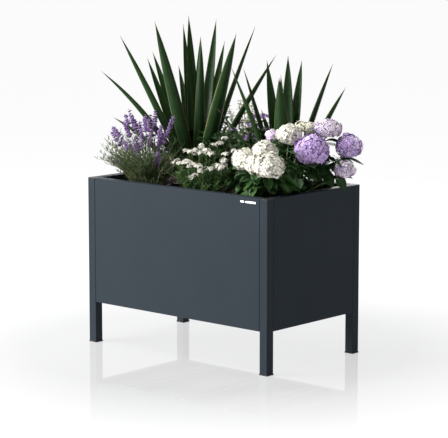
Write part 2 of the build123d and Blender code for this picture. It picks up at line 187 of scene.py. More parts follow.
def add_sky():
    """A pale sky that is bright all round the horizon and dim overhead."""
    world = bpy.data.worlds.new("studio")
    bpy.context.scene.world = world
    world.use_nodes = True
    tree = world.node_tree
    sky = tree.nodes["Background"]
    sky.inputs["Color"].default_value = (0.98, 0.99, 1.0, 1.0)
    place = tree.nodes.new("ShaderNodeTexCoord")
    height = tree.nodes.new("ShaderNodeSeparateXYZ")
    falloff = tree.nodes.new("ShaderNodeMapRange")
    tree.links.new(place.outputs["Generated"], height.inputs[0])
    tree.links.new(height.outputs["Z"], falloff.inputs[0])
    tree.links.new(falloff.outputs[0], sky.inputs["Strength"])
    for socket, value in zip((1, 2, 3, 4), (0.10, 0.30, 1.0, 0.16)):
        falloff.inputs[socket].default_value = value


def add_floor():
    """A white floor, glossy enough round the planter's feet to mirror its legs."""
    half = 90.0
    mesh = bpy.data.meshes.new("floor")
    corners = [(-half, -half, 0), (half, -half, 0), (half, half, 0), (-half, half, 0)]
    mesh.from_pydata(corners, [], [(0, 1, 2, 3)])
    floor = bpy.data.objects.new("floor", mesh)
    bpy.context.scene.collection.objects.link(floor)
    paint = Paint("floor_paint", roughness=0.8, specular=0.0)
    paint.set("Base Color", (0.10, 0.10, 0.101, 1.0))
    paint.set("Coat Roughness", 0.03)
    paint.set("Coat IOR", 1.95)
    paint.set("Emission Color", (1.0, 1.0, 1.0, 1.0))
    paint.set("Emission Strength", 0.945)
    reach = paint.make("ShaderNodeVectorMath", {0: paint.place()}, operation="LENGTH")
    paint.link(paint.range(reach.outputs["Value"], 0.80, 1.65, 1.0, 0.0), "Coat Weight")
    mesh.materials.append(paint.material)


add_camera()
add_sky()
add_floor()
add_softbox("key", (-3.6, -4.4, 1.9), (0.0, 0.0, 0.6), (3.2, 2.4), 680.0)
add_softbox("top", (-0.8, -0.9, 4.2), (0.0, 0.0, 0.7), (3.4, 2.8), 190.0)
add_softbox("back", (-2.4, 3.6, 2.6), (0.0, 0.0, 0.9), (2.4, 1.6), 120.0)
bpy.context.scene.view_settings.view_transform = "Standard"

# ---- materials -----------------------------------------------------


def powder_coat():
    """Anthracite polyester coat on steel: fine orange peel, slight unevenness, a little dust."""
    paint = Paint("powder_coat", roughness=0.42, specular=0.02)
    clouds = paint.noise(5.0, 4.0)
    grain = paint.noise(900.0, 2.0)
    colour = paint.mix(clouds, (0.0205, 0.0264, 0.0330), (0.0248, 0.0312, 0.0386))
    up = paint.make("ShaderNodeSeparateXYZ", {0: paint.make("ShaderNodeNewGeometry").outputs["Normal"]})
    dust = paint.math("MULTIPLY", paint.range(up.outputs["Z"], 0.6, 1.0, 0.0, 0.05), paint.noise(60.0, 6.0))
    paint.link(paint.mix(dust, colour, (0.16, 0.15, 0.14)), "Base Color")
    paint.link(paint.range(paint.noise(22.0, 5.0), 0.3, 0.7, 0.36, 0.46), "Roughness")
    peel = paint.math("ADD", grain, paint.math("MULTIPLY", paint.noise(330.0, 2.0), 0.8))
    paint.bump(peel, 0.00006, 0.55)
    return paint.material


def moulded_black():
    """Black moulded plastic with a fine spark-eroded texture and scuffed high spots."""
    paint = Paint("moulded_black", roughness=0.6, specular=0.35)
    scuff = paint.range(paint.noise(140.0, 6.0), 0.55, 0.75)
    paint.link(paint.mix(scuff, (0.008, 0.008, 0.009), (0.022, 0.022, 0.024)), "Base Color")
    paint.link(paint.range(paint.noise(45.0, 4.0), 0.3, 0.7, 0.5, 0.68), "Roughness")
    paint.bump(paint.noise(1600.0, 3.0), 0.00008, 0.7)
    return paint.material


def zinc_plate():
    """Zinc-plated screws and nuts: pale spangle with a dull oxide bloom."""
    paint = Paint("zinc_plate", roughness=0.42, metallic=0.9)
    flakes = paint.cells(600.0)
    tone = paint.mix(paint.range(flakes, 0.1, 0.8), (0.52, 0.54, 0.56), (0.40, 0.42, 0.44))
    bloom = paint.range(paint.noise(9.0, 6.0), 0.5, 0.75, 0.0, 0.5)
    paint.link(paint.mix(bloom, tone, (0.62, 0.62, 0.60)), "Base Color")
    paint.link(paint.range(flakes, 0.0, 0.9, 0.32, 0.55), "Roughness")
    paint.bump(paint.noise(400.0, 3.0), 0.00005, 0.4)
    return paint.material


def liner_film():
    """Black liner, creased and splashed with soil near its edge."""
    paint = Paint("liner_film", roughness=0.45, specular=0.4)
    splash = paint.range(paint.noise(70.0, 7.0), 0.52, 0.66)
    paint.link(paint.mix(splash, (0.012, 0.012, 0.013), (0.035, 0.024, 0.017)), "Base Color")
    paint.link(paint.range(splash, 0.0, 1.0, 0.4, 0.85), "Roughness")
    creases = paint.noise(1.0, 5.0, at=paint.stretched((18.0, 18.0, 60.0)))
    paint.bump(creases, 0.003, 0.6)
    return paint.material


def soil_paint():
    """Dark moist potting mix: humus, fibres and paler crumbs."""
    paint = Paint("soil", roughness=0.92, specular=0.2)
    broad = paint.mix(paint.noise(30.0, 5.0), (0.0045, 0.0028, 0.002), (0.015, 0.0085, 0.006))
    crumb = paint.range(paint.tint(), 0.0, 1.0, 0.0, 0.55)
    warm = paint.mix(crumb, broad, (0.058, 0.034, 0.022))
    fleck = paint.range(paint.noise(420.0, 3.0), 0.66, 0.74, 0.0, 0.6)
    paint.link(paint.mix(fleck, warm, (0.20, 0.13, 0.085)), "Base Color")
    paint.bump(paint.noise(260.0, 8.0, 0.7), 0.0016, 0.9)
    return paint.material


def bark_paint():
    """Weathered bark and wood chips, some bleached, some reddish."""
    paint = Paint("bark", roughness=0.85, specular=0.25)
    tone = paint.mix(paint.tint(), (0.060, 0.028, 0.018), (0.52, 0.38, 0.28))
    grain = paint.noise(1.0, 6.0, at=paint.stretched((240.0, 700.0, 500.0)))
    paint.link(paint.mix(paint.range(grain, 0.45, 0.7, 0.0, 0.6), tone, (0.03, 0.016, 0.01)), "Base Color")
    paint.bump(grain, 0.0008, 0.8)
    return paint.material


def gravel_paint(name, first, second, scale):
    """Something loose and rough that lies inside the box."""
    paint = Paint(name, roughness=0.9, specular=0.2)
    pits = paint.cells(scale)
    paint.link(paint.mix(paint.range(pits, 0.1, 0.7), first, second), "Base Color")
    paint.bump(pits, 0.004, 0.9)
    return paint.material


def white_print():
    """Screen-printed white ink, a little thin at its edges."""
    paint = Paint("white_print", roughness=0.5, specular=0.4)
    thin = paint.range(paint.noise(700.0, 4.0), 0.35, 0.5)
    paint.link(paint.mix(thin, (0.74, 0.75, 0.76), (0.86, 0.86, 0.86)), "Base Color")
    paint.bump(paint.noise(1200.0, 2.0), 0.00004, 0.5)
    return paint.material


def agave_paint():
    """Stiff green blade: fibre lines, grey bloom, yellowish margins, brown point."""
    paint = Paint("agave_leaf", roughness=0.36, specular=0.11)
    u, v = paint.across()
    side = paint.from_middle(u)
    lines = paint.noise(1.0, 4.0, 0.6, at=paint.streaks(u, v, 46.0, 2.2))
    dark = paint.mix(paint.tint(), (0.0032, 0.0145, 0.0028), (0.0080, 0.0280, 0.0052))
    green = paint.mix(paint.range(lines, 0.35, 0.75, 0.0, 0.8), dark, (0.018, 0.048, 0.010))
    bloom = paint.range(paint.noise(24.0, 5.0), 0.45, 0.80, 0.0, 0.28)
    green = paint.mix(bloom, green, (0.026, 0.055, 0.024))
    pale = paint.mix(paint.range(v, 0.0, 0.16, 0.75, 0.0), green, (0.20, 0.23, 0.09))
    edge = paint.range(side, 0.455, 0.492, 0.0, 0.7)
    pale = paint.mix(edge, pale, (0.24, 0.22, 0.09))
    ragged = paint.math("ADD", v, paint.math("MULTIPLY", paint.noise(160.0, 3.0), 0.03))
    tip = paint.range(ragged, 0.965, 0.99)
    paint.link(paint.mix(tip, pale, (0.13, 0.075, 0.04)), "Base Color")
    paint.link(paint.range(bloom, 0.0, 0.28, 0.34, 0.55), "Roughness")
    paint.bump(lines, 0.0009, 0.55)
    return paint.material


def vein_lines(paint, u, v, pairs, slant):
    """1 along the midrib and the side veins, falling to 0 between them."""
    side = paint.from_middle(u)
    along = paint.math("SUBTRACT", v, paint.math("MULTIPLY", side, slant))
    beat = paint.math("PINGPONG", paint.math("MULTIPLY", along, pairs), 0.5)
    ribs = paint.range(beat, 0.0, 0.09, 1.0, 0.0)
    midrib = paint.range(side, 0.0, 0.03, 1.0, 0.0)
    return paint.math("MAXIMUM", ribs, midrib)


def leaf_paint(name, dark, light, vein, roughness, pairs=7.0, bloom=0.12):
    """A broad leaf: darker and lighter leaves, paler veins, quilted between them."""
    paint = Paint(name, roughness=roughness, specular=0.22)
    u, v = paint.across()
    ribs = vein_lines(paint, u, v, pairs, 0.55)
    green = paint.mix(paint.tint(), dark, light)
    mottled = paint.mix(paint.range(paint.noise(55.0, 5.0), 0.35, 0.75, 0.0, 0.5), green, light)
    side = paint.from_middle(u)
    rim = paint.mix(paint.range(side, 0.40, 0.5, 0.0, bloom), mottled, vein)
    paint.link(paint.mix(paint.math("MULTIPLY", ribs, 0.45), rim, vein), "Base Color")
    quilt = paint.math("ADD", paint.math("MULTIPLY", ribs, -1.0), paint.noise(420.0, 3.0))
    paint.bump(quilt, 0.0006, 0.7)
    paint.set("Subsurface Weight", 0.06)
    paint.set("Subsurface Radius", (0.002, 0.004, 0.001))
    return paint.material


def petal_paint(name, throat, body, rim, alternate, roughness=0.55):
    """A flower petal: throat, body and rim colours, with a second tone on some florets."""
    paint = Paint(name, roughness=roughness, specular=0.25)
    u, v = paint.across()
    tone = paint.mix(paint.range(paint.tint(), 0.35, 1.0), body, alternate)
    tone = paint.mix(paint.range(v, 0.0, 0.34, 1.0, 0.0), tone, throat)
    tone = paint.mix(paint.range(v, 0.70, 1.0, 0.0, 0.85), tone, rim)
    lines = paint.noise(1.0, 3.0, at=paint.streaks(u, v, 14.0, 1.5))
    paint.link(paint.mix(paint.range(lines, 0.5, 0.8, 0.0, 0.25), tone, throat), "Base Color")
    paint.bump(lines, 0.0004, 0.5)
    paint.set("Subsurface Weight", 0.12)
    paint.set("Subsurface Radius", (0.003, 0.003, 0.003))
    return paint.material


def stalk_paint(name, low, high):
    """A green stalk, woodier where its own tint is high."""
    paint = Paint(name, roughness=0.6, specular=0.3)
    paint.link(paint.mix(paint.tint(), low, high), "Base Color")
    paint.bump(paint.noise(1.0, 4.0, at=paint.stretched((900.0, 900.0, 90.0))), 0.0005, 0.6)
    return paint.material


def dress(nodes, material):
    """Give CAD pieces a finished material in place of their plain one."""
    for name in nodes:
        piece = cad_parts[name]
        piece.data.materials.clear()
        piece.data.materials.append(material)


steel = [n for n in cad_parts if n.endswith("_panel") or n.startswith("floor_")]
steel += [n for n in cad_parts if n.startswith("post_") and "cap" not in n]
moulded = [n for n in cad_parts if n.startswith(("post_cap", "foot_"))]
dress(steel, powder_coat())
dress(moulded, moulded_black())
dress(["panel_screws", "rivet_nuts", "rail_screws", "rail_nuts"], zinc_plate())
dress(["liner"], liner_film())
dress(["drainage_gravel"], gravel_paint("clay", (0.30, 0.13, 0.07), (0.10, 0.04, 0.025), 90.0))
dress(["filter_fleece"], gravel_paint("fleece", (0.62, 0.62, 0.60), (0.45, 0.45, 0.43), 500.0))
dress(["blank_label"], white_print())

# ---- building with many small closed shapes ------------------------


class Heap:
    """Many closed shapes in one mesh. Each vertex knows its place across and along its shape."""

    def __init__(self):
        self.co, self.uv, self.tints, self.quads, self.tris = [], [], [], [], []
        self.count = 0

    def add(self, shape, tint, places=None):
        """shape is (points, quads, triangles, uv); places is a stack of 4x4 matrices."""
        points, quads, tris, uv = shape
        if places is not None:
            turned = np.einsum("kij,nj->kni", places[:, :3, :3], points) + places[:, None, :3, 3]
            copies, size = len(places), len(points)
            steps = np.arange(copies)[:, None, None] * size
            quads = (quads[None] + steps).reshape(-1, 4)
            tris = (tris[None] + steps).reshape(-1, 3)
            uv = np.tile(uv, (copies, 1))
            tint = np.repeat(np.broadcast_to(tint, copies), size)
            points = turned.reshape(-1, 3)
        self.co.append(points)
        self.uv.append(uv)
        self.tints.append(np.broadcast_to(tint, len(points)))
        self.quads.append(quads + self.count)
        self.tris.append(tris + self.count)
        self.count += len(points)

    def grow(self, shape, tint):
        """Add a leaf unless it would run into the box or lean out too far."""
        x, y, z = np.abs(shape[0][:, 0]), np.abs(shape[0][:, 1]), shape[0][:, 2]
        low = z < RIM + RIM_CLEAR
        outside = (x > INSIDE.x) | (y > INSIDE.y) | ((x > POST_CLEAR.x) & (y > POST_CLEAR.y))
        if not np.any(low & outside) and y.max() < LEAF_REACH_Y:
            self.add(shape, tint)

    def finish(self, name, material, slot, *nodes):
        """Make the piece, dress it, and put it on its CAD body."""
        mesh = bpy.data.meshes.new(name)
        faces = np.concatenate(self.quads).tolist() + np.concatenate(self.tris).tolist()
        mesh.from_pydata(np.concatenate(self.co).tolist(), [], faces)
        corners = np.zeros(len(mesh.loops), np.int64)
        mesh.loops.foreach_get("vertex_index", corners)
        layer = mesh.uv_layers.new(name="leaf")
        layer.data.foreach_set("uv", np.concatenate(self.uv)[corners].astype(np.float32).ravel())
        tint = mesh.attributes.new("tint", "FLOAT", "POINT")
        tint.data.foreach_set("value", np.concatenate(self.tints).astype(np.float32))
        mesh.shade_smooth()
        mesh.materials.append(material)
        piece = bpy.data.objects.new(name, mesh)
        bpy.context.scene.collection.objects.link(piece)
        if nodes:
            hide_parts(*nodes)
        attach(piece, BODY)
        return piece


NO_QUADS = np.zeros((0, 4), np.int64)
NO_TRIS = np.zeros((0, 3), np.int64)


def unit(v):
    v = np.asarray(v, float)
    return v / np.maximum(np.linalg.norm(v, axis=-1, keepdims=True), 1e-12)


def heading(azimuth, lean):
    """The direction that leans from upright by lean, towards azimuth, both in degrees."""
    a, t = math.radians(azimuth), math.radians(lean)
    return np.array((math.sin(t) * math.cos(a), math.sin(t) * math.sin(a), math.cos(t)))


def spiral(n, polar, start=0.0):
    """Directions at angles polar from upright, each turned on from the last to fill a ball evenly."""
    turn = n * math.pi * (3 - math.sqrt(5)) + start
    return np.stack((np.sin(polar) * np.cos(turn), np.sin(polar) * np.sin(turn), np.cos(polar)), 1)


def bezier(root, pull, tip, count):
    t = np.linspace(0.0, 1.0, count)[:, None]
    return root * (1 - t) ** 2 + pull * 2 * t * (1 - t) + tip * t**2


def frames_at(directions, spins=0.0, sizes=1.0, origins=None):
    """4x4 matrices whose z axis points along each direction, turned about it and scaled."""
    z = unit(directions)
    helper = np.where(np.abs(z[:, 2:3]) > 0.95, (1.0, 0.0, 0.0), (0.0, 0.0, 1.0))
    x = unit(np.cross(helper, z))
    y = np.cross(z, x)
    spins = np.broadcast_to(spins, len(z))[:, None]
    turned_x = x * np.cos(spins) + y * np.sin(spins)
    turned_y = np.cross(z, turned_x)
    sizes = np.broadcast_to(sizes, len(z))[:, None, None]
    out = np.tile(np.eye(4), (len(z), 1, 1))
    out[:, :3, :3] = np.stack((turned_x, turned_y, z), axis=2) * sizes
    if origins is not None:
        out[:, :3, 3] = origins
    return out


def skin(stations, ring):
    """The faces of a closed tube: quads along it and triangles over both ends."""
    i, j = np.meshgrid(np.arange(stations - 1), np.arange(ring), indexing="ij")
    k = (j + 1) % ring
    quads = np.stack((i * ring + j, i * ring + k, (i + 1) * ring + k, (i + 1) * ring + j), 2)
    last = (stations - 1) * ring
    ends = np.arange(1, ring - 1)
    root_cap = np.stack((np.zeros_like(ends), ends + 1, ends), 1)
    tip_cap = np.stack((np.full_like(ends, last), last + ends, last + ends + 1), 1)
    return quads.reshape(-1, 4), np.concatenate((root_cap, tip_cap))


def blade(spine, facing, widths, thicks, channels, across=9, twist=0.0):
    """A closed leaf along a spine. facing is the way its upper side looks, roughly."""
    spine = np.asarray(spine, float)
    stations = len(spine)
    along = unit(np.gradient(spine, axis=0))
    side = unit(np.cross(along, np.broadcast_to(facing, spine.shape)))
    up = np.cross(side, along)
    turn = np.broadcast_to(twist, stations)[:, None]
    side, up = side * np.cos(turn) + up * np.sin(turn), up * np.cos(turn) - side * np.sin(turn)
    u = np.linspace(-1.0, 1.0, across)
    ring_u = np.concatenate((u, u[-2:0:-1]))
    below = np.concatenate((np.zeros(across), np.ones(across - 2)))
    half = np.asarray(widths)[:, None] / 2
    lift = np.asarray(channels)[:, None] * np.abs(ring_u) ** 1.6
    drop = np.asarray(thicks)[:, None] * (0.15 + 0.85 * (1 - ring_u**2)) * below
    points = (
        spine[:, None, :]
        + side[:, None, :] * (half * ring_u)[:, :, None]
        + up[:, None, :] * (lift - drop)[:, :, None]
    )
    size = len(ring_u)
    uv = np.empty((stations, size, 2))
    uv[:, :, 0] = (ring_u + 1) / 2
    uv[:, :, 1] = np.linspace(0.0, 1.0, stations)[:, None]
    return points.reshape(-1, 3), *skin(stations, size), uv.reshape(-1, 2)


def tube(spine, radii, sides=6):
    """A closed round stalk along a spine."""
    spine = np.asarray(spine, float)
    along = unit(np.gradient(spine, axis=0))
    helper = UP if abs(along[0, 2]) < 0.9 else np.array((1.0, 0.0, 0.0))
    x = unit(np.cross(along, np.broadcast_to(helper, spine.shape)))
    y = np.cross(along, x)
    angle = np.arange(sides) * (2 * math.pi / sides)
    radii = np.broadcast_to(radii, len(spine))[:, None, None]
    ring = x[:, None] * np.cos(angle)[None, :, None] + y[:, None] * np.sin(angle)[None, :, None]
    points = (spine[:, None] + ring * radii).reshape(-1, 3)
    v = np.repeat(np.linspace(0.0, 1.0, len(spine)), sides)
    uv = np.stack((np.tile(angle / (2 * math.pi), len(spine)), v), 1)
    return points, *skin(len(spine), sides), uv


def bud(length, radius, sides=6):
    """A small pointed bud that stands on the origin and points along z."""
    heights = np.array((0.0, 0.22, 0.6, 1.0)) * length
    radii = np.array((0.35, 0.9, 1.0, 0.12)) * radius
    spine = np.stack((np.zeros(4), np.zeros(4), heights), 1)
    return tube(spine, radii, sides)


def join(*shapes):
    """Several shapes as one."""
    points, quads, tris, uv, count = [], [], [], [], 0
    for p, q, t, w in shapes:
        points.append(p)
        quads.append(q + count)
        tris.append(t + count)
        uv.append(w)
        count += len(p)
    return tuple(np.concatenate(part) for part in (points, quads, tris, uv))


def floret(petals, length, width, cup, heart, across=5):
    """A flat flower that faces along z: rounded petals round a small bead."""
    shapes = []
    stations = 4
    t = np.linspace(0.0, 1.0, stations)
    for n in range(petals):
        a = 2 * math.pi * n / petals
        out = np.array((math.cos(a), math.sin(a), 0.0))
        rise = cup * length * (np.sin(t * math.pi * 0.6) if cup > 0 else t**2)
        spine = out * (0.06 + t[:, None] * 0.94) * length + UP * rise[:, None]
        outline = np.interp(t, (0.0, 0.3, 0.65, 0.88, 1.0), (0.3, 0.85, 1.0, 0.82, 0.4))
        widths = outline * width
        shapes.append(blade(spine, UP, widths, np.full(stations, 0.0004), widths * 0.08, across))
    shapes.append(bud(heart * 1.4, heart, 4))
    return join(*shapes)


# ---- soil ----------------------------------------------------------
GOLDEN_ANGLE = 137.508
POST_GAP = 0.0095  # from a post to the soil
RAGGED = (0.010, 0.006, 0.018)  # how far a tip strays from its even place, each way
WAVES = ((9.0, 4.0, 0.0, 3.0), (-6.0, 11.0, 1.7, 2.4), (23.0, -17.0, 0.4, 1.4), (41.0, 37.0, 2.2, 0.8))


def scattered(rng, count, middle, spread, height, rise):
    """Tips spread evenly over an oval above the soil, higher towards the back of the box."""
    for n in range(count):
        share = math.sqrt((n + 0.5) / count)
        aside = heading(n * GOLDEN_ANGLE, 90) * spread * share + rng.normal(scale=RAGGED)
        yield middle + aside + UP * (height * (1.0 - 0.15 * share) + rise * aside[1])


def soil_height(x, y):
    """Gentle lumps, a few millimetres either way."""
    bumps = sum(h * np.sin(a * x + b * y + p) for a, b, p, h in WAVES)
    return SOIL_TOP + 0.001 + bumps * 0.001


def in_cavity(x, y, margin=0.0):
    """True inside the liner, which steps in round the four posts."""
    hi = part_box("potting_soil")[1]
    post_near, post_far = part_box("post_front_right")
    beside_x = np.abs(x) > post_near.x - POST_GAP - margin
    near_post = beside_x & (np.abs(y) > -post_far.y - POST_GAP - margin)
    inside = (np.abs(x) < hi.x - margin) & (np.abs(y) < hi.y - margin)
    return inside & ~near_post


def build_soil():
    """One closed block with a lumpy top, and a scatter of crumbs on it."""
    lo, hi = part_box("potting_soil")
    pitch = 0.006
    nx, ny = round((hi.x - lo.x) / pitch), round((hi.y - lo.y) / pitch)
    xs, ys = np.linspace(lo.x, hi.x, nx + 1), np.linspace(lo.y, hi.y, ny + 1)
    gx, gy = np.meshgrid(xs, ys, indexing="ij")
    cx, cy = np.meshgrid((xs[:-1] + xs[1:]) / 2, (ys[:-1] + ys[1:]) / 2, indexing="ij")
    keep = in_cavity(cx, cy)
    ids = np.arange(gx.size).reshape(gx.shape)
    top = np.stack((gx, gy, soil_height(gx, gy)), 2).reshape(-1, 3)
    base = np.stack((gx, gy, np.full_like(gx, SOIL_FLOOR)), 2).reshape(-1, 3)
    a, b, c, d = ids[:-1, :-1], ids[1:, :-1], ids[1:, 1:], ids[:-1, 1:]
    upper = np.stack((a, b, c, d), 2)[keep]
    lower = np.stack((a, d, c, b), 2)[keep] + gx.size
    walls = []
    padded = np.pad(keep, 1)
    for edge, beside in (((a, b), (0, -1)), ((b, c), (1, 0)), ((c, d), (0, 1)), ((d, a), (-1, 0))):
        neighbour = padded[1 + beside[0] : nx + 1 + beside[0], 1 + beside[1] : ny + 1 + beside[1]]
        open_edge = keep & ~neighbour
        first, second = edge[0][open_edge], edge[1][open_edge]
        walls.append(np.stack((second, first, first + gx.size, second + gx.size), 1))
    quads = np.concatenate((upper, lower, *walls))
    used, packed = np.unique(quads, return_inverse=True)
    points = np.concatenate((top, base))[used]
    heap = Heap()
    heap.add((points, packed.reshape(quads.shape), NO_TRIS, np.zeros((len(points), 2))), 0.2)
    soil = heap.finish("soil_bed", soil_paint(), "soil", "potting_soil")

    rng = np.random.RandomState(5)
    crumbs = Heap()
    spots = rng.uniform((lo.x, lo.y), (hi.x, hi.y), (6000, 2))
    spots = spots[in_cavity(spots[:, 0], spots[:, 1], 0.006)]
    sizes = 0.0018 + 0.0052 * rng.rand(len(spots)) ** 2.5
    origins = np.column_stack((spots, soil_height(spots[:, 0], spots[:, 1]) + sizes * 0.2))
    places = frames_at(rng.normal(size=(len(spots), 3)), rng.rand(len(spots)) * 6, sizes, origins)
    crumbs.add(lump(rng), rng.rand(len(spots)), places)
    crumbs.finish("soil_crumbs", soil.data.materials[0], "soil")


def lump(rng):
    """An uneven octahedron split once: a crumb about one unit in radius."""
    x = np.array([(1, 0, 0), (-1, 0, 0), (0, 1, 0), (0, -1, 0), (0, 0, 1), (0, 0, -1)], float)
    faces = [(0, 2, 4), (2, 1, 4), (1, 3, 4), (3, 0, 4), (2, 0, 5), (1, 2, 5), (3, 1, 5), (0, 3, 5)]
    points, middles, tris = list(x), {}, []

    def middle(p, q):
        key = (min(p, q), max(p, q))
        if key not in middles:
            middles[key] = len(points)
            points.append(unit(points[p] + points[q]))
        return middles[key]

    for a, b, c in faces:
        ab, bc, ca = middle(a, b), middle(b, c), middle(c, a)
        tris += [(a, ab, ca), (b, bc, ab), (c, ca, bc), (ab, bc, ca)]
    points = np.array(points) * rng.uniform(0.65, 1.1, (len(points), 1)) * (1.0, 0.8, 0.7)
    return points, NO_QUADS, np.array(tris), np.zeros((len(points), 2))


def build_chips():
    """Bark chips and pale flecks, thickest along the front where the soil shows."""
    rng = np.random.RandomState(11)
    lo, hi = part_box("potting_soil")
    heap = Heap()
    count = 900
    x = rng.uniform(lo.x, hi.x, count)
    in_front = rng.rand(count) < 0.6
    front_y = lo.y + 0.045 + 0.130 * rng.rand(count)
    y = np.where(in_front, front_y, rng.uniform(lo.y, hi.y, count))
    keep = in_cavity(x, y, 0.012)
    x, y = x[keep], y[keep]
    for px, py in zip(x, y):
        length = rng.uniform(0.006, 0.017)
        width = length * rng.uniform(0.25, 0.6)
        flat = heading(rng.uniform(0, 360), rng.uniform(70, 95))
        at = np.array((px, py, soil_height(px, py) + 0.0015))
        spine = at + flat * np.linspace(-0.5, 0.5, 4)[:, None] * length
        outline = width * np.array((0.5, 1.0, 0.9, 0.4)) * rng.uniform(0.85, 1.15, 4)
        tilt = UP + rng.normal(scale=0.35, size=3)
        heap.add(blade(spine, tilt, outline, outline * 0.22, outline * 0.05, 4), rng.rand() ** 1.7)
    heap.finish("bark_chips_loose", bark_paint(), "bark", "bark_chips")


build_soil()
build_chips()

# ---- agaves --------------------------------------------------------
MM = 0.001
LARGE_AGAVE = (-0.190, 0.050)
SMALL_AGAVE = (0.240, 0.120)
CROWN_HEIGHT = 0.020
CROWN_CLEAR = 0.008
LEAF_SETBACK = 0.0011
BLADE_WIDTH = 0.98  # share of the listed width that a blade really has
# azimuth, lean of the tip from upright, length in mm, width in mm, how much it arches, roll
LARGE_LEAVES = (
    (225, 41, 615, 38, 16, -38),
    (235, 28, 700, 40, 5, -38),
    (205, 56, 455, 30, 18, 30),
    (190, 45, 405, 30, 14, 35),
    (200, 24, 560, 42, 4, 40),
    (185, 24, 585, 44, 6, 35),
    (265, 19, 720, 60, 3, -24),
    (165, 9, 665, 42, 2, 10),
    (150, 9, 700, 54, 2, 0),
    (340, 4, 600, 46, 0, 30),
    (70, 8, 685, 50, 2, -42),
    (350, 23, 690, 60, 4, 22),
    (45, 21, 695, 44, 4, 30),
    (25, 33, 640, 36, 6, 35),
    (128, 22, 640, 48, 8, 0),
    (112, 24, 590, 46, 8, 10),
    (146, 36, 570, 44, 12, -10),
    (132, 42, 440, 42, 16, 0),
    (92, 18, 610, 44, 5, -25),
    (165, 26, 590, 40, 8, 10),
)
SMALL_LEAVES = (
    (225, 24, 545, 30, 4, -35),
    (205, 20, 520, 32, 3, 20),
    (195, 29, 395, 30, 6, -20),
    (185, 10, 530, 52, 2, 32),
    (290, 9, 465, 72, 2, 0),
    (90, 2, 545, 58, 0, -28),
    (60, 8, 530, 50, 2, -45),
    (35, 21, 550, 40, 5, 35),
    (20, 32, 500, 36, 7, 35),
    (110, 20, 430, 38, 6, 0),
    (136, 20, 480, 40, 6, 10),
    (152, 42, 400, 36, 14, 0),
    (126, 30, 390, 36, 10, -10),
    (320, 46, 235, 34, 12, 0),
    (215, 41, 425, 34, 10, -20),
)


def sword(heap, centre, azimuth, lean, length, width, arch, roll, tint):
    """One stiff channelled blade with a needle at its end."""
    away = heading(azimuth, 90)
    middle = np.array((*centre, SOIL_TOP + CROWN_HEIGHT))
    root = middle + away * (CROWN_CLEAR + lean * LEAF_SETBACK)
    tip = middle + heading(azimuth, lean) * length * MM
    pull = root + heading(azimuth, lean - arch) * np.linalg.norm(tip - root) * 0.5
    stations = 36
    spine = bezier(root, pull, tip, stations)
    t = np.linspace(0.0, 1.0, stations)
    outline = np.interp(
        t,
        (0.0, 0.06, 0.14, 0.28, 0.46, 0.62, 0.76, 0.87, 0.94, 0.975, 1.0),
        (1.05, 0.92, 0.92, 1.04, 1.0, 0.84, 0.62, 0.38, 0.17, 0.06, 0.012),
    )
    widths = outline * width * MM * BLADE_WIDTH
    thicks = np.interp(t, (0.0, 0.2, 0.7, 0.97, 1.0), (0.016, 0.008, 0.0045, 0.0016, 0.0006))
    channels = widths * np.interp(t, (0.0, 0.15, 0.6, 1.0), (0.32, 0.22, 0.16, 0.1))
    turn = math.radians(roll) * np.interp(t, (0.0, 0.35, 1.0), (0.35, 1.0, 1.25))
    heap.add(blade(spine, UP * 0.35 - away, widths, thicks, channels, 9, turn), tint)


def rosette(name, centre, leaves, seed, node):
    rng = np.random.RandomState(seed)
    heap = Heap()
    for azimuth, lean, length, width, arch, roll in leaves:
        sword(heap, centre, azimuth, lean, length, width, arch, roll, rng.rand())
    heap.finish(name, AGAVE_LEAF, "agave_leaf", node)


def crown(name, centre, radius, seed, node):
    """The stump: old leaf bases packed in rings, most of it under the soil's crumbs."""
    rng = np.random.RandomState(seed)
    heap = Heap()
    rings = ((1.0, 0.006, 16), (0.78, 0.012, 13), (0.52, 0.019, 9), (0.25, 0.024, 5))
    for share, height, count in rings:
        for n in range(count):
            azimuth = 360 * (n + rng.rand() * 0.3) / count + share * 60
            out = heading(azimuth, 90)
            at = np.array((*centre, SOIL_TOP)) + out * radius * share
            tip = at + out * radius * 0.05 + UP * height
            spine = bezier(at - UP * 0.02, at, tip - out * 0.006, 6)
            widths = np.array((0.026, 0.027, 0.026, 0.022, 0.016, 0.008))
            heap.add(blade(spine, -out, widths, widths * 0.3, widths * 0.2, 7), rng.rand())
    heap.finish(name, CROWN, "plant_crown", node)


AGAVE_LEAF = agave_paint()
CROWN = stalk_paint("agave_crown", (0.060, 0.055, 0.024), (0.12, 0.14, 0.055))
rosette("agave_large_blades", LARGE_AGAVE, LARGE_LEAVES, 3, "agave_large_leaves")
rosette("agave_small_blades", SMALL_AGAVE, SMALL_LEAVES, 4, "agave_small_leaves")
crown("agave_large_stump", LARGE_AGAVE, 0.056, 6, "agave_large_crown")
crown("agave_small_stump", SMALL_AGAVE, 0.045, 7, "agave_small_crown")

# ---- lavender ------------------------------------------------------
LAVENDER = np.array((-0.300, -0.130, SOIL_TOP))


